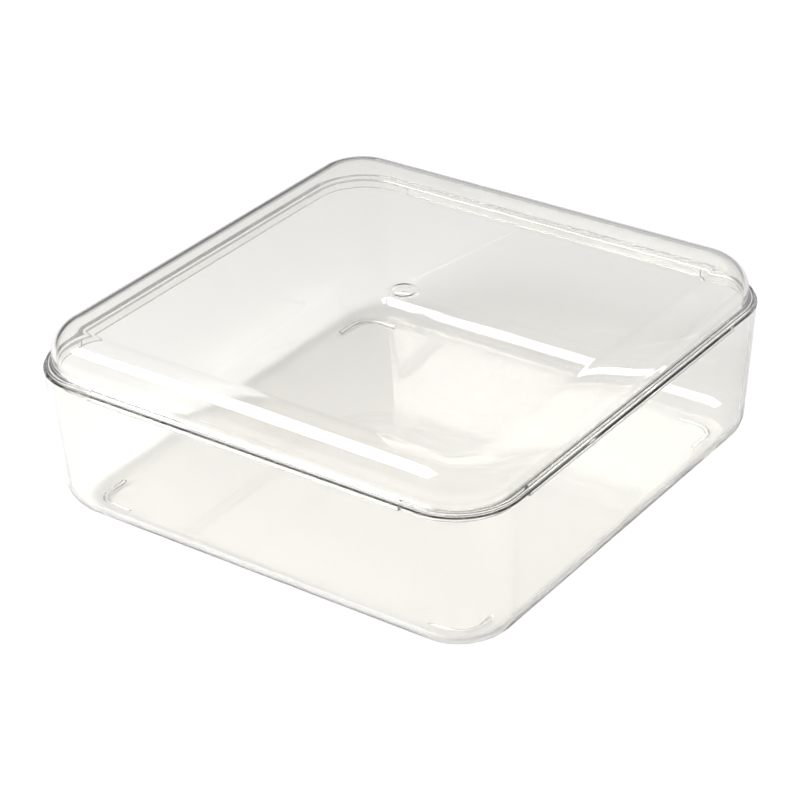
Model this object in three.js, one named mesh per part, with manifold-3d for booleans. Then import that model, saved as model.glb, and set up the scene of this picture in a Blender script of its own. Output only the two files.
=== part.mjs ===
// A low square cake container: a clear moulded tray and a clear moulded lid that lifts straight off it.
// Units are millimetres and +Z is up. The origin lies under the middle of the container, where it stands.

import * as THREE from 'three';
import { mergeVertices } from 'three/addons/utils/BufferGeometryUtils.js';
import Module from 'manifold-3d';

// Tray: outside sizes, and the thickness of its wall and floor.
const RIM_WIDTH = 160.8;
const RIM_CORNER_RADIUS = 19.6;
const TRAY_DEPTH = 46.2;
const WALL_LEAN = 2.1; // how far each wall leans in between the rim and the bottom curve
const BASE_CORNER_RADIUS = 18.9;
const BASE_EDGE_RADIUS = 10.6;
const TRAY_WALL = 1.5;
const FLOOR_THICKNESS = 1.6;

// Stacking ribs: one bent rib under each corner of the tray's floor.
const RIB_HEIGHT = 1.0;
const RIB_WIDTH = 1.6;
const RIB_SETBACK = 0.9; // from the edge of the flat floor to the rib
const RIB_BEND_RADIUS = 5.8; // at the middle of the rib
const RIB_LEG = 6.2; // straight run past each end of the bend
const RIB_ROOT = 0.6; // how far the rib runs up into the floor

// Lid: a flat top, a rounded edge, a short wall and a narrow flange that rests on the tray's rim.
const LID_HEIGHT = 12.8; // from the tray's rim to the top
const LID_WALL = 1.4;
const LID_EDGE_RADIUS = 9.2;
const LID_CORNER_RADIUS = 17.7;
const LID_LEAN = 0.2; // how far the lid's wall leans in from its foot to the rounded edge
const FLANGE_SETBACK = 0.65; // how far the flange's edge stays inside the tray's edge
const FLANGE_WIDTH = 1.55;
const FLANGE_THICKNESS = 1.4;
const FOOT_FILLET = 0.8; // hollow radius between the flange and the lid's wall

// Skirt under the flange, with a straight pad on each side that fits inside the tray.
const SKIRT_DEPTH = 2.2;
const SKIRT_WALL = 1.0;
const PAD_SETBACK = 6.4; // from the start of the rim's corner to the pad's end
const PAD_ROOT = 0.4; // how far the pad runs into the skirt and up into the flange
const FIT_CLEARANCE = 0.3; // between the pads and the tray's wall

// Moulding mark in the middle of the lid: a shallow round dish.
const MARK_DIAMETER = 10.4;
const MARK_DEPTH = 0.15;
const MARK_SLOPE = 1.6; // how much smaller the dish's radius is at its bottom

// Smoothness of the solids.
const CORNER_STEPS = 10;
const EDGE_STEPS = 6;
const MARK_SIDES = 32;
const SMALLEST_RADIUS = 0.5;
const SMALLEST_STRAIGHT = 0.5;
const SIDES = 4;

// Heights that both pieces share.
const floorZ = RIB_HEIGHT;
const rimZ = floorZ + TRAY_DEPTH;
const topZ = rimZ + LID_HEIGHT;

const rimHalf = RIM_WIDTH / 2;
const baseHalf = rimHalf - WALL_LEAN;
const quarterTurn = Math.PI / 2;

const wasm = await Module();
wasm.setup();

// Corner points of a square with round corners, counter-clockwise from above, at height z.
function ring(half, radius, z) {
  const bend = Math.max(radius, SMALLEST_RADIUS);
  const centre = half - bend;
  const points = [];
  for (let side = 0; side < SIDES; side += 1) {
    for (let step = 0; step <= CORNER_STEPS; step += 1) {
      const turn = (side + step / CORNER_STEPS) * quarterTurn;
      const middle = (side + 1 / 2) * quarterTurn;
      const x = Math.SQRT2 * centre * Math.cos(middle) + bend * Math.cos(turn);
      const y = Math.SQRT2 * centre * Math.sin(middle) + bend * Math.sin(turn);
      points.push(new THREE.Vector3(x, y, z));
    }
  }
  return points;
}

// Rings along a quarter-round edge between a wall, which ends at wallZ, and a flat side. They start at the
// flat side where fromFlat is true, and otherwise at the wall. The flat side lies above the wall's end where
// up is 1, and below it where up is -1. A negative edge radius makes a hollow fillet instead.
function roundEdge(half, radius, edge, wallZ, up, fromFlat) {
  const rings = [];
  for (let step = 0; step <= EDGE_STEPS; step += 1) {
    const share = step / EDGE_STEPS;
    const angle = (fromFlat ? 1 - share : share) * quarterTurn;
    const inset = edge * (1 - Math.cos(angle));
    rings.push(ring(half - inset, radius - inset, wallZ + up * edge * Math.sin(angle)));
  }
  return rings;
}

// A closed solid through rings that run outwards from one middle, round the section and back to another.
function loft(rings) {
  const count = rings[0].length;
  const first = new THREE.Vector3(0, 0, rings[0][0].z);
  const last = new THREE.Vector3(0, 0, rings[rings.length - 1][0].z);
  const points = [first, ...rings.flat(), last];
  const index = [];
  for (let spot = 0; spot < count; spot += 1) {
    const next = (spot + 1) % count;
    index.push(0, 1 + next, 1 + spot);
    for (let row = 0; row + 1 < rings.length; row += 1) {
      const here = 1 + row * count;
      const above = here + count;
      index.push(here + spot, here + next, above + next);
      index.push(here + spot, above + next, above + spot);
    }
    const end = 1 + (rings.length - 1) * count;
    index.push(points.length - 1, end + spot, end + next);
  }
  const geometry = new THREE.BufferGeometry().setFromPoints(points);
  geometry.setIndex(index);
  return geometry;
}

// A solid that can be joined and cut, from a closed geometry.
function solid(geometry) {
  const bare = geometry.clone();
  bare.deleteAttribute('normal');
  bare.deleteAttribute('uv');
  const merged = mergeVertices(bare);
  const vertProperties = new Float32Array(merged.attributes.position.array);
  const triVerts = new Uint32Array(merged.index.array);
  return new wasm.Manifold(new wasm.Mesh({ numProp: 3, vertProperties, triVerts }));
}

// A named mesh of a finished solid.
function piece(name, body, material) {
  const { vertProperties, triVerts, numProp } = body.getMesh();
  const geometry = new THREE.BufferGeometry();
  geometry.setAttribute('position', new THREE.BufferAttribute(new Float32Array(vertProperties), numProp));
  geometry.setIndex(new THREE.BufferAttribute(new Uint32Array(triVerts), 1));
  geometry.computeVertexNormals();
  const mesh = new THREE.Mesh(geometry, material);
  mesh.name = name;
  return mesh;
}

// Half of the tray's inside width on its sloped wall, at height z.
function trayInside(z) {
  const share = (rimZ - z) / (TRAY_DEPTH - BASE_EDGE_RADIUS);
  return rimHalf - TRAY_WALL - WALL_LEAN * share;
}

// The tray's shell, from the middle of its underside over the rim to the middle of its floor.
function trayShell() {
  const insideEdge = BASE_EDGE_RADIUS - TRAY_WALL;
  const insideFloorZ = floorZ + FLOOR_THICKNESS;
  return loft([
    ...roundEdge(baseHalf, BASE_CORNER_RADIUS, BASE_EDGE_RADIUS, floorZ + BASE_EDGE_RADIUS, -1, true),
    ring(rimHalf, RIM_CORNER_RADIUS, rimZ),
    ring(rimHalf - TRAY_WALL, RIM_CORNER_RADIUS - TRAY_WALL, rimZ),
    ...roundEdge(
      baseHalf - TRAY_WALL,
      BASE_CORNER_RADIUS - TRAY_WALL,
      insideEdge,
      insideFloorZ + insideEdge,
      -1,
      false,
    ),
  ]);
}

// One stacking rib, bent round a corner of the floor and rounded at both ends.
function stackingRib() {
  const half = baseHalf - BASE_EDGE_RADIUS - RIB_SETBACK - RIB_WIDTH / 2;
  const centre = half - RIB_BEND_RADIUS;
  const legEnd = centre - RIB_LEG;
  const outside = RIB_BEND_RADIUS + RIB_WIDTH / 2;
  const inside = RIB_BEND_RADIUS - RIB_WIDTH / 2;
  const outline = new THREE.Shape();
  outline.moveTo(half + RIB_WIDTH / 2, legEnd);
  outline.absarc(centre, centre, outside, 0, quarterTurn, false);
  outline.absarc(legEnd, half, RIB_WIDTH / 2, quarterTurn, quarterTurn + Math.PI, false);
  outline.absarc(centre, centre, inside, quarterTurn, 0, true);
  outline.absarc(half, legEnd, RIB_WIDTH / 2, Math.PI, Math.PI * 2, false);
  return new THREE.ExtrudeGeometry(outline, {
    depth: RIB_HEIGHT + RIB_ROOT,
    bevelEnabled: false,
    curveSegments: CORNER_STEPS,
  });
}

// The lid's shell, from the middle of its ceiling round the skirt and flange to the middle of its top.
function lidShell() {
  const flangeHalf = rimHalf - FLANGE_SETBACK;
  const flangeRadius = RIM_CORNER_RADIUS - FLANGE_SETBACK;
  const footHalf = flangeHalf - FLANGE_WIDTH;
  const flangeTopZ = rimZ + FLANGE_THICKNESS;
  const fillet = Math.min(FOOT_FILLET, FLANGE_WIDTH - SMALLEST_STRAIGHT);
  const edge = Math.min(LID_EDGE_RADIUS, LID_HEIGHT - FLANGE_THICKNESS - fillet - SMALLEST_STRAIGHT);
  const shoulderHalf = footHalf - LID_LEAN;
  const shoulderRadius = LID_CORNER_RADIUS - LID_LEAN;
  const insideHalf = footHalf - LID_WALL;
  const insideRadius = LID_CORNER_RADIUS - LID_WALL;
  const insideEdge = edge - LID_WALL;
  const skirtZ = rimZ - SKIRT_DEPTH;
  return loft([
    ...roundEdge(
      shoulderHalf - LID_WALL,
      shoulderRadius - LID_WALL,
      insideEdge,
      topZ - LID_WALL - insideEdge,
      1,
      true,
    ),
    ring(insideHalf, insideRadius, skirtZ),
    ring(insideHalf + SKIRT_WALL, insideRadius + SKIRT_WALL, skirtZ),
    ring(insideHalf + SKIRT_WALL, insideRadius + SKIRT_WALL, rimZ),
    ring(flangeHalf, flangeRadius, rimZ),
    ring(flangeHalf, flangeRadius, flangeTopZ),
    ...roundEdge(footHalf, LID_CORNER_RADIUS, -fillet, flangeTopZ + fillet, 1, true),
    ...roundEdge(shoulderHalf, shoulderRadius, edge, topZ - edge, 1, false),
  ]);
}

// One fitting pad on the skirt's +X side, between the rim's two corners.
function fittingPad() {
  const skirtHalf = rimHalf - FLANGE_SETBACK - FLANGE_WIDTH - LID_WALL + SKIRT_WALL;
  const outside = trayInside(rimZ - SKIRT_DEPTH) - FIT_CLEARANCE;
  const inside = skirtHalf - PAD_ROOT;
  const length = 2 * (rimHalf - RIM_CORNER_RADIUS - PAD_SETBACK);
  const height = SKIRT_DEPTH + PAD_ROOT;
  const pad = new THREE.BoxGeometry(outside - inside, length, height);
  pad.translate((outside + inside) / 2, 0, rimZ - SKIRT_DEPTH + height / 2);
  return pad;
}

// The round dish that is cut into the middle of the lid's top.
function markCutter() {
  const radius = MARK_DIAMETER / 2;
  const slope = MARK_SLOPE / MARK_DEPTH;
  const above = MARK_DEPTH;
  const cutter = new THREE.CylinderGeometry(
    radius + above * slope,
    radius - MARK_SLOPE,
    MARK_DEPTH + above,
    MARK_SIDES,
  );
  cutter.rotateX(quarterTurn);
  cutter.translate(0, 0, topZ + (above - MARK_DEPTH) / 2);
  return cutter;
}

// Clear, colourless moulded plastic with a glossy surface.
function clearPlastic(name) {
  const material = new THREE.MeshStandardMaterial({
    color: 0xf2f3ef,
    roughness: 0.06,
    metalness: 0,
    transparent: true,
    opacity: 0.3,
  });
  material.name = name;
  return material;
}

function makeTray() {
  let body = solid(trayShell());
  for (let side = 0; side < SIDES; side += 1) {
    body = body.add(solid(stackingRib().rotateZ(side * quarterTurn)));
  }
  return piece('tray', body, clearPlastic('clear tray plastic'));
}

function makeLid() {
  let body = solid(lidShell());
  for (let side = 0; side < SIDES; side += 1) {
    body = body.add(solid(fittingPad().rotateZ(side * quarterTurn)));
  }
  body = body.subtract(solid(markCutter()));
  return piece('lid', body, clearPlastic('clear lid plastic'));
}

const container = new THREE.Group();
container.add(makeTray(), makeLid());

export default container;
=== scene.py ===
import math

import bpy
import numpy as np
from mathutils import Matrix


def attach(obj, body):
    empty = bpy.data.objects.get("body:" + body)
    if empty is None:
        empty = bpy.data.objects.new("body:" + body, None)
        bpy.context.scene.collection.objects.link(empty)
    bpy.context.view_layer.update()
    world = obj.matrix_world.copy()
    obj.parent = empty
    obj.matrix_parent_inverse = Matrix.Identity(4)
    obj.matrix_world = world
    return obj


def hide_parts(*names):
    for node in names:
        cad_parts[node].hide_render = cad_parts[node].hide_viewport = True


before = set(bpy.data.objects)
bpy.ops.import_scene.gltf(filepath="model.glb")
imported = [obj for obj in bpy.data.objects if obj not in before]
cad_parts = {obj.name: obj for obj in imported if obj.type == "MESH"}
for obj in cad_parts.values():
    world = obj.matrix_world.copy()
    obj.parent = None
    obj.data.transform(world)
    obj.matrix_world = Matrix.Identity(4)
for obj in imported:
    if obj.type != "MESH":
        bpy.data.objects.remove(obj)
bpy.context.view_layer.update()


# Tray: the lower box, one injection moulding of clear polystyrene with an even wall. Its floor runs into
# the walls in a wide curve, the walls lean out to a plain rim, and under each corner of the floor
# stands a low bent rib that keeps a stack of containers from sliding.
MM = 0.001
NEAR_ENOUGH = 0.01 * MM

RIM_HALF = 80.4 * MM
RIM_BEND = 19.6 * MM
RIM_Z = 47.2 * MM
RIM_EDGE_ROUNDING = 0.1 * MM
TRAY_WALL = 1.5 * MM
BASE_HALF = 78.3 * MM
BASE_BEND = 18.9 * MM
BASE_CURVE = 10.6 * MM
UNDERSIDE_Z = 1.0 * MM
TRAY_FLOOR_Z = 2.6 * MM

RIB_HALF = 66.0 * MM
RIB_BEND = 5.8 * MM
RIB_LEG_END = 54.0 * MM
RIB_HALF_WIDTH = 0.8 * MM
RIB_FLANK = 0.5 * MM
RIB_HEIGHT = 1.0 * MM

# Spacing of the tray's mesh: rings on both sides of a rib's middle line, points round the end of a rib's
# leg, and the half width and corner bend of the rings on a flat middle.
RIB_RINGS = np.array([0.15, 0.3, 0.38, 0.46, 0.54, 0.62, 0.7, 0.76, 0.82, 0.9]) * MM
RIB_INNERMOST_RING = -1.1 * MM
RIB_END_OFFSETS = np.hstack([np.linspace(-1.8, -1.2, 3), np.linspace(-0.8, -0.1, 8), [0.1, 0.5]]) * MM
FLAT_RINGS = np.array([[20, 4], [45, 6], [63, 6]]) * MM
FLAT_MARGIN = 0.4 * MM
WALL_SHARES = [0.01, 0.1, 0.5, 0.9, 0.99]
TRAY_SIDE_SHARES = [0.25, 0.5, 0.75]
TRAY_LAST_SHARES = [0.97, 1]
CORNER_STEPS = 28
CURVE_STEPS = 22
RIM_STEPS = 5

CLEAR_TINT = (0.988, 0.982, 0.964, 1)
CLEAR_IOR = 1.59
SKIN_TILT = (0.3, 0.2)
TRAY_SKIN_TURN = 0.4
WAVE_SCALE = 22
WAVE_DETAIL = 1
WAVE_HEIGHT = 0.06 * MM
POLISH_SCALE = 900
POLISH_DETAIL = 2
POLISH_HEIGHT = 0.0002 * MM
HAZE_SCALE = 45
HAZE_DETAIL = 5
HAZE_START = 0.45
HAZE_END = 0.75
HAZE_ROUGHNESS = 0.035


def curve_section(centre_half, centre_bend, centre_z, radius, start, end, steps):
    """Stations along a circle in the moulding's section: the half width, the corner bend and the height
    are those of the circle's centre plus radius times the cosine (outwards) or sine (upwards) of an
    angle that runs evenly from start to end, in degrees."""
    angle = np.radians(np.linspace(start, end, steps + 1))
    reach = radius * np.cos(angle)
    return np.stack([centre_half + reach, centre_bend + reach, centre_z + radius * np.sin(angle)], 1)


def straight_section(first, last, shares):
    """Stations on the straight line from first to last, each a half width, a corner bend and a height,
    at the given shares of its length."""
    return first + np.array(shares)[:, None] * (last - first)


def flat_section(flat_z, rings):
    """Stations of a flat middle at one height, from its innermost ring to its outermost."""
    return np.column_stack([rings, np.full(len(rings), flat_z)])


def wall_slope(centre_half, centre_z, radius, rim_half, rim_z):
    """Angle in degrees below the horizontal at which a wall that passes through the rim point touches
    the bottom curve: the rim point lies radius off the centre along that direction."""
    out = rim_half - centre_half
    rise = rim_z - centre_z
    return math.degrees(math.acos(radius / math.hypot(out, rise)) - math.atan2(rise, out))


def carried_square(stations, side_shares):
    """Carries a section round a square with round corners. Each station is one ring: along a side the
    points lie at shares of the straight run, and each corner is a quarter circle of the station's bend.
    Returns x, y, z, and how far each point lies from the middle of its side, without end at a corner."""
    half = stations[:, 0:1]
    bend = stations[:, 1:2]
    run = half - bend
    turn = np.linspace(0, np.pi / 2, CORNER_STEPS + 1)[None, 1:-1]
    along = run * side_shares[None, :]
    ahead = np.hstack([half + 0 * along, run + bend * np.cos(turn)])
    across = np.hstack([along, run + bend * np.sin(turn)])
    x = np.hstack([ahead, -across, -ahead, across])
    y = np.hstack([across, ahead, -across, -ahead])
    z = stations[:, 2:3] + 0 * x
    beside = np.hstack([np.abs(along), np.full((len(stations), turn.size), np.inf)])
    return x, y, z, np.tile(beside, (1, 4))


def closed_moulding(name, x, y, z, first_z, last_z):
    """A closed smooth mesh of rings: row by row quads join each ring to the next, and a fan to a middle
    point closes the first ring at height first_z and the last one at height last_z."""
    rows, columns = x.shape
    rings = np.stack([x.ravel(), y.ravel(), z.ravel()], 1)
    points = np.vstack([rings, [[0, 0, first_z], [0, 0, last_z]]])
    spot = np.arange(rows * columns).reshape(rows, columns)
    following = np.roll(spot, -1, 1)
    quads = np.stack([spot[:-1], following[:-1], following[1:], spot[1:]], 2).reshape(-1, 4)
    first = np.stack([np.full(columns, rows * columns), following[0], spot[0]], 1)
    last = np.stack([np.full(columns, rows * columns + 1), spot[-1], following[-1]], 1)
    mesh = bpy.data.meshes.new(name)
    mesh.from_pydata(points, [], quads.tolist() + first.tolist() + last.tolist())
    mesh.polygons.foreach_set("use_smooth", np.ones(len(mesh.polygons), bool))
    mesh.update()
    moulding = bpy.data.objects.new(name, mesh)
    bpy.context.scene.collection.objects.link(moulding)
    return moulding


def tray_section():
    """The tray's section from the middle of its underside, over the ribs' rings, up the outside, over the
    rim and down the inside to the middle of its floor."""
    floor_half = BASE_HALF - BASE_CURVE
    floor_bend = BASE_BEND - BASE_CURVE
    inside_curve = BASE_CURVE - TRAY_WALL
    outside_z = UNDERSIDE_Z + BASE_CURVE
    inside_z = TRAY_FLOOR_Z + inside_curve
    rounding = RIM_EDGE_ROUNDING
    rim_inside = RIM_HALF - TRAY_WALL
    outside_slope = wall_slope(floor_half, outside_z, BASE_CURVE, RIM_HALF, RIM_Z)
    inside_slope = wall_slope(floor_half, inside_z, inside_curve, rim_inside, RIM_Z)
    offsets = np.hstack([[RIB_INNERMOST_RING], -RIB_RINGS[::-1], [0], RIB_RINGS])
    rib_rings = np.column_stack([RIB_HALF + offsets, RIB_BEND + offsets])
    outer_curve = curve_section(
        floor_half, floor_bend, outside_z, BASE_CURVE, -90, -outside_slope, CURVE_STEPS)
    rim_outer = curve_section(
        RIM_HALF - rounding, RIM_BEND - rounding, RIM_Z - rounding, rounding, -outside_slope, 90, RIM_STEPS)
    rim_inner = curve_section(
        rim_inside + rounding, RIM_BEND - TRAY_WALL + rounding, RIM_Z - rounding,
        rounding, 90, 180, RIM_STEPS)
    inner_curve = curve_section(
        floor_half, floor_bend, inside_z, inside_curve, -inside_slope, -90, CURVE_STEPS)
    floor_rings = np.vstack([FLAT_RINGS, [floor_half - FLAT_MARGIN, floor_bend]])
    return np.vstack([
        flat_section(UNDERSIDE_Z, FLAT_RINGS),
        flat_section(UNDERSIDE_Z, rib_rings),
        outer_curve,
        straight_section(outer_curve[-1], rim_outer[0], WALL_SHARES),
        rim_outer,
        rim_inner,
        straight_section(rim_inner[-1], inner_curve[0], WALL_SHARES),
        inner_curve,
        flat_section(TRAY_FLOOR_Z, floor_rings)[::-1],
    ])


def eased(share):
    """Runs smoothly from nothing at a share of 0 to 1 at a share of 1, level at both ends."""
    share = np.clip(share, 0, 1)
    return share * share * (3 - 2 * share)


def rib_drop(stations, beside):
    """How far the underside drops at a rib: the distance to the rib's middle line is the ring's offset
    from it, or past the end of a leg the straight distance to that end. From the rib's half width the drop
    eases over the flank to the whole height."""
    offset = stations[:, 0:1] - RIB_HALF
    past_end = np.clip(RIB_LEG_END - beside, 0, None)
    inside = (RIB_HALF_WIDTH - np.hypot(offset, past_end)) / RIB_FLANK
    on_underside = np.abs(stations[:, 2:3] - UNDERSIDE_Z) < NEAR_ENOUGH
    return RIB_HEIGHT * eased(inside) * on_underside


def skin_noise(nodes, links, spot, scale, detail):
    """Soft noise over the skin, from the place on the piece."""
    noise = nodes.new("ShaderNodeTexNoise")
    noise.inputs["Scale"].default_value = scale
    noise.inputs["Detail"].default_value = detail
    links.new(spot, noise.inputs["Vector"])
    return noise.outputs["Fac"]


def skin_bump(nodes, links, noise, height):
    """A bump of the skin that is as high as height where the noise is 1."""
    bump = nodes.new("ShaderNodeBump")
    bump.inputs["Strength"].default_value = 1
    bump.inputs["Distance"].default_value = height
    links.new(noise, bump.inputs["Height"])
    return bump


def clear_polystyrene(name, skin_turn):
    """Clear moulded plastic: slow waves of the moulded skin and fine polishing marks bend the surface,
    and faint patches of handling haze change its gloss."""
    material = bpy.data.materials.new(name)
    material.use_nodes = True
    nodes = material.node_tree.nodes
    links = material.node_tree.links
    shader = nodes["Principled BSDF"]
    shader.inputs["Base Color"].default_value = CLEAR_TINT
    shader.inputs["Transmission Weight"].default_value = 1
    shader.inputs["IOR"].default_value = CLEAR_IOR
    place = nodes.new("ShaderNodeTexCoord")
    turned = nodes.new("ShaderNodeMapping")
    turned.inputs["Rotation"].default_value = (*SKIN_TILT, skin_turn)
    links.new(place.outputs["Object"], turned.inputs["Vector"])
    spot = turned.outputs["Vector"]

    waves = skin_bump(nodes, links, skin_noise(nodes, links, spot, WAVE_SCALE, WAVE_DETAIL), WAVE_HEIGHT)
    polish = skin_bump(
        nodes, links, skin_noise(nodes, links, spot, POLISH_SCALE, POLISH_DETAIL), POLISH_HEIGHT)
    links.new(waves.outputs["Normal"], polish.inputs["Normal"])
    links.new(polish.outputs["Normal"], shader.inputs["Normal"])

    gloss = nodes.new("ShaderNodeMapRange")
    gloss.inputs["From Min"].default_value = HAZE_START
    gloss.inputs["From Max"].default_value = HAZE_END
    gloss.inputs["To Min"].default_value = 0
    gloss.inputs["To Max"].default_value = HAZE_ROUGHNESS
    links.new(skin_noise(nodes, links, spot, HAZE_SCALE, HAZE_DETAIL), gloss.inputs["Value"])
    links.new(gloss.outputs["Result"], shader.inputs["Roughness"])
    return material


rib_end_shares = (RIB_LEG_END + RIB_END_OFFSETS) / (RIB_HALF - RIB_BEND)
tray_half_side = np.hstack([TRAY_SIDE_SHARES, rib_end_shares, TRAY_LAST_SHARES])
tray_shares = np.hstack([-tray_half_side[::-1], [0], tray_half_side])
tray_stations = tray_section()
tray_x, tray_y, tray_z, tray_beside = carried_square(tray_stations, tray_shares)
tray_z = tray_z - rib_drop(tray_stations, tray_beside)
tray = closed_moulding("tray_moulding", tray_x, tray_y, tray_z, UNDERSIDE_Z, TRAY_FLOOR_Z)
tray.data.materials.append(clear_polystyrene("clear_tray_polystyrene", TRAY_SKIN_TURN))
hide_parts("tray")
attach(tray, "tray")


# Lid: the cover, moulded of the same clear polystyrene. Its flat top rounds over into a short wall, a narrow
# flange rests on the tray's rim, and a shallow skirt below it plugs into the tray on four straight pads.
# A round dish in the middle of the top is left by the moulding gate.
LID_TOP_Z = 60.0 * MM
LID_WALL = 1.4 * MM
LID_EDGE_CURVE = 9.2 * MM
LID_SKIN_TURN = 1.9
SHOULDER_HALF = 78.0 * MM
SHOULDER_BEND = 17.5 * MM
FOOT_HALF = 78.2 * MM
FOOT_BEND = 17.7 * MM
FOOT_FILLET = 0.8 * MM
FLANGE_HALF = 79.75 * MM
FLANGE_BEND = 18.95 * MM
FLANGE_TOP_Z = 48.6 * MM
FLANGE_GAP = 0.06 * MM
FLANGE_LOW_ROUNDING = 0.18 * MM
FLANGE_TOP_ROUNDING = 0.3 * MM
SKIRT_HALF = 77.8 * MM
SKIRT_BEND = 17.3 * MM
SKIRT_Z = 45.0 * MM
SKIRT_ROUNDING = 0.1 * MM
PAD_STEP = 0.67 * MM
PAD_END = 54.4 * MM
PAD_END_EASE = 0.5 * MM

MARK_RADIUS = 5.2 * MM
MARK_DEPTH = 0.145 * MM
MARK_GROOVE_RADIUS = 3.8 * MM
MARK_BUTTON_RADIUS = 3.0 * MM
MARK_BUTTON_DEPTH = 0.005 * MM
MARK_HOLLOW = 0.06 * MM
MARK_NUB_RADIUS = 0.6 * MM
MARK_NUB_HEIGHT = 0.055 * MM

# Spacing of the lid's mesh: shares of the straight parts of its section, shares of half a side, which are
# closest round the end of a pad, and the rings of the mark.
LID_INSIDE_SHARES = [0.03, 0.5, 0.97]
SKIRT_SHARES = [0.05, 0.9, 1]
SEAT_SHARES = [0.4, 0.95]
SHORT_SHARES = [0.1, 0.9]
LID_SIDE_SHARES = [0.15, 0.3, 0.5, 0.7, 0.82, 0.86]
PAD_END_SHARES = [0.887, 0.893, 0.895, 0.897, 0.899, 0.901, 0.903, 0.905, 0.911, 0.923]
LID_LAST_SHARES = [0.95, 1]
SKIRT_STEPS = 4
FLANGE_LOW_STEPS = 5
FLANGE_TOP_STEPS = 6
FOOT_STEPS = 12
MARK_MARGIN = 0.5 * MM
MARK_INNERMOST_RING = 0.2 * MM
MARK_STEPS = 60


def lid_section():
    """The lid's section from the middle of its ceiling down the inside, round the skirt, under and over the
    flange and up the outside to the edge of the dish in its top."""
    top_half = SHOULDER_HALF - LID_EDGE_CURVE
    top_bend = SHOULDER_BEND - LID_EDGE_CURVE
    curve_z = LID_TOP_Z - LID_EDGE_CURVE
    inside_half = FOOT_HALF - LID_WALL
    inside_bend = FOOT_BEND - LID_WALL
    seat_z = RIM_Z + FLANGE_GAP
    top_rings = np.vstack([FLAT_RINGS, [top_half - FLAT_MARGIN, top_bend]])
    inner_curve = curve_section(top_half, top_bend, curve_z, LID_EDGE_CURVE - LID_WALL, 90, 0, CURVE_STEPS)
    skirt_inner = curve_section(
        inside_half + SKIRT_ROUNDING, inside_bend + SKIRT_ROUNDING, SKIRT_Z + SKIRT_ROUNDING,
        SKIRT_ROUNDING, 180, 270, SKIRT_STEPS)
    skirt_outer = curve_section(
        SKIRT_HALF - SKIRT_ROUNDING, SKIRT_BEND - SKIRT_ROUNDING, SKIRT_Z + SKIRT_ROUNDING,
        SKIRT_ROUNDING, -90, 0, SKIRT_STEPS)
    skirt_top = np.array([SKIRT_HALF, SKIRT_BEND, seat_z])
    flange_low = curve_section(
        FLANGE_HALF - FLANGE_LOW_ROUNDING, FLANGE_BEND - FLANGE_LOW_ROUNDING, seat_z + FLANGE_LOW_ROUNDING,
        FLANGE_LOW_ROUNDING, -90, 0, FLANGE_LOW_STEPS)
    flange_high = curve_section(
        FLANGE_HALF - FLANGE_TOP_ROUNDING, FLANGE_BEND - FLANGE_TOP_ROUNDING,
        FLANGE_TOP_Z - FLANGE_TOP_ROUNDING, FLANGE_TOP_ROUNDING, 0, 90, FLANGE_TOP_STEPS)
    foot = curve_section(
        FOOT_HALF + FOOT_FILLET, FOOT_BEND + FOOT_FILLET, FLANGE_TOP_Z + FOOT_FILLET,
        FOOT_FILLET, 270, 180, FOOT_STEPS)
    outer_curve = curve_section(top_half, top_bend, curve_z, LID_EDGE_CURVE, 0, 90, CURVE_STEPS)
    return np.vstack([
        flat_section(LID_TOP_Z - LID_WALL, top_rings),
        inner_curve,
        straight_section(inner_curve[-1], skirt_inner[0], LID_INSIDE_SHARES),
        skirt_inner,
        skirt_outer,
        straight_section(skirt_outer[-1], skirt_top, SKIRT_SHARES),
        straight_section(skirt_top, flange_low[0], SEAT_SHARES),
        flange_low,
        straight_section(flange_low[-1], flange_high[0], SHORT_SHARES),
        flange_high,
        straight_section(flange_high[-1], foot[0], SHORT_SHARES),
        foot,
        straight_section(foot[-1], outer_curve[0], SHORT_SHARES),
        outer_curve,
        flat_section(LID_TOP_Z, top_rings)[::-1],
    ])


def pad_reach(stations, beside):
    """How far a pad stands out of the skirt: its whole step between its two ends, easing to nothing over
    a short length at each, on the rings of the skirt's outside only."""
    ease = np.clip((PAD_END + PAD_END_EASE / 2 - beside) / PAD_END_EASE, 0, 1)
    past_rounding = stations[:, 0:1] > SKIRT_HALF - SKIRT_ROUNDING - NEAR_ENOUGH
    short_of_flange = stations[:, 0:1] < SKIRT_HALF + NEAR_ENOUGH
    below_flange = stations[:, 2:3] < RIM_Z + FLANGE_GAP + NEAR_ENOUGH
    return PAD_STEP * ease * (past_rounding & short_of_flange & below_flange)


def gate_dish(x, y):
    """Round rings that carry the lid's last square ring into the middle, in the directions of its points.
    From the rim of the mark the depth eases down to a round groove and up again to a button. The button is
    hollowed by a share of one less the square of the radius, and a small nub rises in its middle."""
    radius = np.linspace(MARK_RADIUS + MARK_MARGIN, MARK_INNERMOST_RING, MARK_STEPS)
    groove = eased((MARK_RADIUS - radius) / (MARK_RADIUS - MARK_GROOVE_RADIUS))
    button = eased((MARK_GROOVE_RADIUS - radius) / (MARK_GROOVE_RADIUS - MARK_BUTTON_RADIUS))
    nub = eased((MARK_NUB_RADIUS - radius) / (MARK_NUB_RADIUS / 2))
    hollow = MARK_HOLLOW * np.clip(1 - (radius / MARK_BUTTON_RADIUS) ** 2, 0, 1)
    button_depth = MARK_BUTTON_DEPTH + hollow
    depth = MARK_DEPTH * groove - (MARK_DEPTH - button_depth) * button - MARK_NUB_HEIGHT * nub
    away = np.hypot(x, y)[None, :]
    ring_x = radius[:, None] * x[None, :] / away
    ring_y = radius[:, None] * y[None, :] / away
    ring_z = (LID_TOP_Z - depth)[:, None] + 0 * ring_x
    return ring_x, ring_y, ring_z


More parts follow.
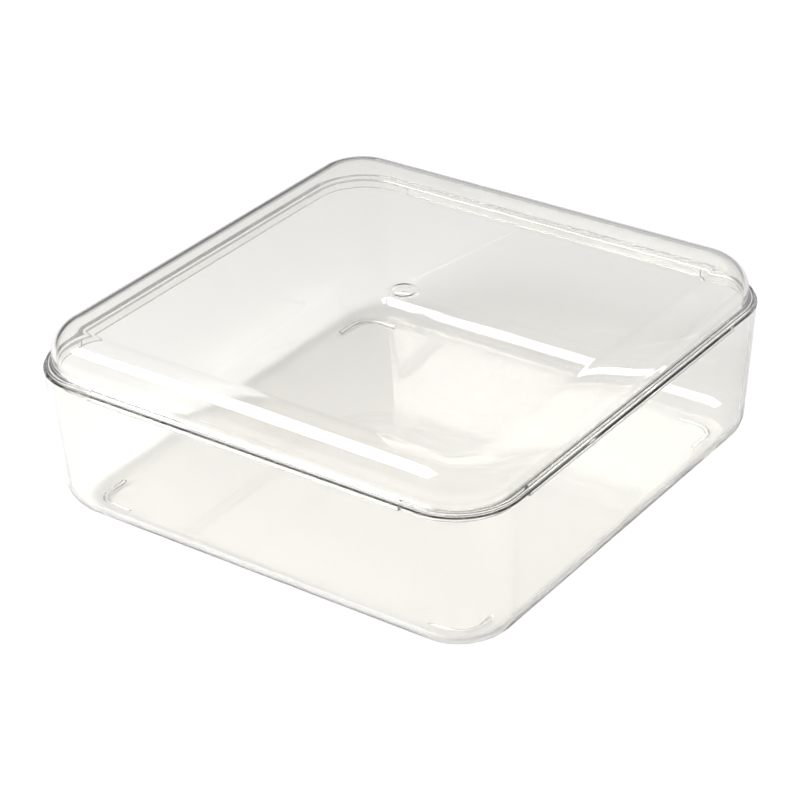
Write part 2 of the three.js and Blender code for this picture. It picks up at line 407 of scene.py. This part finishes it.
lid_half_side = np.hstack([LID_SIDE_SHARES, PAD_END_SHARES, LID_LAST_SHARES])
lid_shares = np.hstack([-lid_half_side[::-1], [0], lid_half_side])
lid_stations = lid_section()
lid_x, lid_y, lid_z, lid_beside = carried_square(lid_stations, lid_shares)
reach = pad_reach(lid_stations, lid_beside)
on_x_side = np.abs(lid_x) > np.abs(lid_y)
lid_x = lid_x + np.sign(lid_x) * reach * on_x_side
lid_y = lid_y + np.sign(lid_y) * reach * ~on_x_side
dish_x, dish_y, dish_z = gate_dish(lid_x[-1], lid_y[-1])
lid_x = np.vstack([lid_x, dish_x])
lid_y = np.vstack([lid_y, dish_y])
lid_z = np.vstack([lid_z, dish_z])
lid = closed_moulding("lid_moulding", lid_x, lid_y, lid_z, LID_TOP_Z - LID_WALL, LID_TOP_Z)
lid.data.materials.append(clear_polystyrene("clear_lid_polystyrene", LID_SKIN_TURN))
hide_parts("lid")
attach(lid, "lid")


# Studio: a plain sheet of pale paper for a floor, in an evenly grey room. Where reflections and the view
# through the clear plastic meet the paper, its colour carries painted light and shade: a painted pool of
# light in front, painted shade that darkens it behind on the left, and a painted contact shadow under the two
# front sides. Behind on the left a dark grey card stands far off and out of the camera's sight. The painted
# shade and the card give the clear edges their dark outline. The paper lies a hair below the ribs' feet, so
# that the two faces don't coincide.
FLOOR_HALF = 4.0
FLOOR_DROP = 0.1 * MM
PAPER = (0.85, 0.85, 0.85, 1)
WHITE_SEEN = 1.08
SHARE_SEEN = 0.85

# Painted light on the paper where reflections and the view through clear plastic meet it: a pool of light in
# front of the container.
POOL_MIDDLE = (0.06, -0.12, 0)
POOL_REACH = 0.7
PAINTED_POOL_TONE = 1.0
PAINTED_POOL_EDGE_TONE = 0.64
# Painted shade on the same paper: it darkens with the distance behind the container on the left.
DUSK_TOWARDS = (-0.866, 0.5, 0)
DUSK_START = 0.3
DUSK_END = 0.55
PAINTED_DUSK_SHADE_TONE = 0.2
# Painted contact shadow on the same paper under the curve of the two front sides.
FRONT_SIDES = (1, -1, 0)
CONTACT_SHIFT = 2.5 * MM
CONTACT_CORE = (BASE_HALF - BASE_BEND + CONTACT_SHIFT, BASE_HALF - BASE_BEND, 0)
CONTACT_START = 11.6 * MM
CONTACT_END = 18.6 * MM
CONTACT_STOPS = (0.286, 0.643)
PAINTED_CONTACT_SHADOW_TONE = (0.68, 0.68, 0.68, 1)

WHITE = (1, 1, 1, 1)
ROOM_GREY = (0.61, 0.61, 0.61, 1)
CARD_GREY = (0.14, 0.14, 0.14, 1)
CARD_ROUGHNESS = 0.9
CARD_DISTANCE = 2.0
CARD_HEIGHT = 0.32
CARD_ENDS = (214, 280)


def vector_step(nodes, links, operation, spot, other):
    """One vector step of the floor's tone, between a place and a fixed vector."""
    step = nodes.new("ShaderNodeVectorMath")
    step.operation = operation
    step.inputs[1].default_value = other
    links.new(spot, step.inputs[0])
    return step


def product(nodes, links, first, second):
    """The product of two tones."""
    both = nodes.new("ShaderNodeMath")
    both.operation = "MULTIPLY"
    links.new(first, both.inputs[0])
    links.new(second, both.inputs[1])
    return both.outputs["Value"]


def painted_pool_of_light(nodes, links, spot):
    """Painted pool of light: palest at the pool's middle in front of the container, falling evenly with the
    distance from there.
    """
    away = vector_step(nodes, links, "DISTANCE", spot, POOL_MIDDLE)
    fade = nodes.new("ShaderNodeMapRange")
    fade.inputs["From Max"].default_value = POOL_REACH
    fade.inputs["To Min"].default_value = PAINTED_POOL_TONE
    fade.inputs["To Max"].default_value = PAINTED_POOL_EDGE_TONE
    links.new(away.outputs["Value"], fade.inputs["Value"])
    return fade.outputs["Result"]


def painted_dusk_shade(nodes, links, spot):
    """Painted shade: full near the container, easing to a low tone with the distance behind it on the left.
    """
    behind = vector_step(nodes, links, "DOT_PRODUCT", spot, DUSK_TOWARDS)
    dusk = nodes.new("ShaderNodeMapRange")
    dusk.interpolation_type = "SMOOTHSTEP"
    dusk.inputs["From Min"].default_value = DUSK_START
    dusk.inputs["From Max"].default_value = DUSK_END
    dusk.inputs["To Min"].default_value = 1
    dusk.inputs["To Max"].default_value = PAINTED_DUSK_SHADE_TONE
    links.new(behind.outputs["Value"], dusk.inputs["Value"])
    return dusk.outputs["Result"]


def painted_contact_shadow(nodes, links, spot):
    """A painted contact shadow below the curve of the two front sides, by the distance from a core square
    inside the base: full up to its start, low between its two stops, and full again past its end."""
    to_front = vector_step(nodes, links, "MULTIPLY", spot, FRONT_SIDES)
    beyond = vector_step(nodes, links, "SUBTRACT", to_front.outputs["Vector"], CONTACT_CORE)
    outward = vector_step(nodes, links, "MAXIMUM", beyond.outputs["Vector"], (0, 0, 0))
    distance = nodes.new("ShaderNodeVectorMath")
    distance.operation = "LENGTH"
    links.new(outward.outputs["Vector"], distance.inputs[0])
    share = nodes.new("ShaderNodeMapRange")
    share.inputs["From Min"].default_value = CONTACT_START
    share.inputs["From Max"].default_value = CONTACT_END
    links.new(distance.outputs["Value"], share.inputs["Value"])
    shade = nodes.new("ShaderNodeValToRGB")
    shade.color_ramp.interpolation = "EASE"
    stops = shade.color_ramp.elements
    stops[0].color = WHITE
    stops[1].color = WHITE
    for position in CONTACT_STOPS:
        stop = stops.new(position)
        stop.color = PAINTED_CONTACT_SHADOW_TONE
    links.new(share.outputs["Result"], shade.inputs["Fac"])
    return shade.outputs["Color"]


def pale_floor(material):
    """Pale paper that takes light and shadow. Where the camera sees it, most of it is washed to an even
    white. A reflection or the view through clear plastic meets it lit and shadowed, and its colour there
    is the product of three painted tones: a painted pool of light, painted shade behind on the left and a
    painted contact shadow under the two front sides."""
    material.use_nodes = True
    nodes = material.node_tree.nodes
    links = material.node_tree.links
    nodes.remove(nodes["Principled BSDF"])
    paper = nodes.new("ShaderNodeBsdfDiffuse")
    paper.inputs["Color"].default_value = PAPER

    white = nodes.new("ShaderNodeEmission")
    white.inputs["Strength"].default_value = WHITE_SEEN
    seen_floor = nodes.new("ShaderNodeMixShader")
    seen_floor.inputs["Fac"].default_value = SHARE_SEEN
    links.new(paper.outputs["BSDF"], seen_floor.inputs[1])
    links.new(white.outputs["Emission"], seen_floor.inputs[2])

    place = nodes.new("ShaderNodeTexCoord")
    spot = place.outputs["Object"]
    # The plastic's view of the paper is painted: pool of light, shade behind on the left and contact shadow,
    # multiplied.
    painted_pool_and_dusk = product(nodes, links, painted_pool_of_light(nodes, links, spot), painted_dusk_shade(nodes, links, spot))
    painted_floor_tone = product(nodes, links, painted_pool_and_dusk, painted_contact_shadow(nodes, links, spot))
    painted_light_floor = nodes.new("ShaderNodeBsdfDiffuse")
    links.new(painted_floor_tone, painted_light_floor.inputs["Color"])

    path = nodes.new("ShaderNodeLightPath")
    by_plastic = nodes.new("ShaderNodeMath")
    by_plastic.operation = "ADD"
    by_plastic.use_clamp = True
    links.new(path.outputs["Is Glossy Ray"], by_plastic.inputs[0])
    links.new(path.outputs["Is Transmission Ray"], by_plastic.inputs[1])
    unseen_floor = nodes.new("ShaderNodeMixShader")
    links.new(by_plastic.outputs["Value"], unseen_floor.inputs["Fac"])
    links.new(paper.outputs["BSDF"], unseen_floor.inputs[1])
    links.new(painted_light_floor.outputs["BSDF"], unseen_floor.inputs[2])
    whole_floor = nodes.new("ShaderNodeMixShader")
    links.new(path.outputs["Is Camera Ray"], whole_floor.inputs["Fac"])
    links.new(unseen_floor.outputs["Shader"], whole_floor.inputs[1])
    links.new(seen_floor.outputs["Shader"], whole_floor.inputs[2])
    links.new(whole_floor.outputs["Shader"], nodes["Material Output"].inputs["Surface"])


def studio_sheet(name, corners, material):
    """A flat stage sheet through four corners."""
    mesh = bpy.data.meshes.new(name)
    mesh.from_pydata(corners, [], [[0, 1, 2, 3]])
    mesh.materials.append(material)
    sheet = bpy.data.objects.new(name, mesh)
    bpy.context.scene.collection.objects.link(sheet)
    return sheet


floor_paper = bpy.data.materials.new("pale_floor_paper")
pale_floor(floor_paper)
square = np.array([[-1, -1, 0], [1, -1, 0], [1, 1, 0], [-1, 1, 0]])
studio_sheet("studio_floor", square * FLOOR_HALF - [0, 0, FLOOR_DROP], floor_paper)

card_paper = bpy.data.materials.new("dark_card_paper")
card_paper.use_nodes = True
card_shader = card_paper.node_tree.nodes["Principled BSDF"]
card_shader.inputs["Base Color"].default_value = CARD_GREY
card_shader.inputs["Roughness"].default_value = CARD_ROUGHNESS
card_turn = np.radians(CARD_ENDS)
card_foot = CARD_DISTANCE * np.stack([np.sin(card_turn), -np.cos(card_turn), 0 * card_turn], 1)
card_top = card_foot + [0, 0, CARD_HEIGHT]
card_corners = np.array([card_foot[0], card_foot[1], card_top[1], card_top[0]])
dark_card = studio_sheet("dark_card", card_corners, card_paper)
dark_card.visible_camera = False

room = bpy.data.worlds.new("grey_room")
bpy.context.scene.world = room
room.use_nodes = True
room_nodes = room.node_tree.nodes
room_links = room.node_tree.links
room_grey = room_nodes["Background"]
room_grey.inputs["Color"].default_value = ROOM_GREY
room_white = room_nodes.new("ShaderNodeBackground")
room_white.inputs["Color"].default_value = WHITE
room_path = room_nodes.new("ShaderNodeLightPath")
room_seen = room_nodes.new("ShaderNodeMixShader")
room_links.new(room_path.outputs["Is Camera Ray"], room_seen.inputs["Fac"])
room_links.new(room_grey.outputs["Background"], room_seen.inputs[1])
room_links.new(room_white.outputs["Background"], room_seen.inputs[2])
room_links.new(room_seen.outputs["Shader"], room_nodes["World Output"].inputs["Surface"])


# Light: one wide softbox on the left in front, above the container, brighter in its middle than at its
# border, so it is two lamps one in front of the other. Its mirror image lies as a long white strip on
# the lid's front left edge and in the curve at the back of the tray.
SOFTBOX_TURN = math.radians(319.7)
SOFTBOX_RISE = math.radians(42)
SOFTBOX_AIM = [0, 0, 0.05]
SOFTBOX_DISTANCE = 1.4
SOFTBOX_SIZE = (0.8, 0.7)
SOFTBOX_POWER = 8.9
MIDDLE_DISTANCE = 1.39
MIDDLE_SIZE = (0.74, 0.56)
MIDDLE_POWER = 6.6


def soft_lamp(name, distance, size, power):
    """A rectangular area lamp that faces the container from the softbox's turn round it, counted from -Y
    towards +X, and from its rise above the floor."""
    lamp_data = bpy.data.lights.new(name, "AREA")
    lamp_data.shape = "RECTANGLE"
    lamp_data.size, lamp_data.size_y = size
    lamp_data.energy = power
    lamp = bpy.data.objects.new(name, lamp_data)
    bpy.context.scene.collection.objects.link(lamp)
    right = np.array([math.cos(SOFTBOX_TURN), math.sin(SOFTBOX_TURN), 0])
    front = np.array([math.sin(SOFTBOX_TURN), -math.cos(SOFTBOX_TURN), 0])
    back = front * math.cos(SOFTBOX_RISE) + [0, 0, math.sin(SOFTBOX_RISE)]
    place = np.eye(4)
    place[:3, :3] = np.stack([right, np.cross(back, right), back], 1)
    place[:3, 3] = back * distance + SOFTBOX_AIM
    lamp.matrix_world = Matrix(place.tolist())


soft_lamp("softbox", SOFTBOX_DISTANCE, SOFTBOX_SIZE, SOFTBOX_POWER)
soft_lamp("softbox_middle", MIDDLE_DISTANCE, MIDDLE_SIZE, MIDDLE_POWER)


# Camera: stands in front on the right and looks down on the corner between two sides, slightly turned. Light
# may pass many walls of clear plastic on its way to it, and gloss stays sharp along the whole way.
CAMERA_AZIMUTH = math.radians(36.742)
CAMERA_ELEVATION = math.radians(29.782)
CAMERA_ROLL = math.radians(-2.174)
CAMERA_DISTANCE = 0.78721
CAMERA_AIM = np.array([0.00063, -0.00461, 0.02589])
CAMERA_LENS = 119.95
SENSOR_WIDTH = 36
CLEAR_BOUNCES = 32
GLOSS_BOUNCES = 24

camera_data = bpy.data.cameras.new("camera")
camera_data.lens = CAMERA_LENS
camera_data.sensor_width = SENSOR_WIDTH
camera = bpy.data.objects.new("camera", camera_data)
bpy.context.scene.collection.objects.link(camera)
bpy.context.scene.camera = camera
view_front = np.array([math.sin(CAMERA_AZIMUTH), -math.cos(CAMERA_AZIMUTH), 0])
view_back = view_front * math.cos(CAMERA_ELEVATION) + [0, 0, math.sin(CAMERA_ELEVATION)]
view_right = np.array([math.cos(CAMERA_AZIMUTH), math.sin(CAMERA_AZIMUTH), 0])
view_up = np.cross(view_back, view_right)
camera_place = np.eye(4)
camera_place[:3, 0] = view_right * math.cos(CAMERA_ROLL) + view_up * math.sin(CAMERA_ROLL)
camera_place[:3, 1] = view_up * math.cos(CAMERA_ROLL) - view_right * math.sin(CAMERA_ROLL)
camera_place[:3, 2] = view_back
camera_place[:3, 3] = CAMERA_AIM + view_back * CAMERA_DISTANCE
camera.matrix_world = Matrix(camera_place.tolist())

scene = bpy.context.scene
scene.view_settings.view_transform = "Standard"
scene.cycles.max_bounces = CLEAR_BOUNCES
scene.cycles.transmission_bounces = CLEAR_BOUNCES
scene.cycles.glossy_bounces = GLOSS_BOUNCES
scene.cycles.blur_glossy = 0
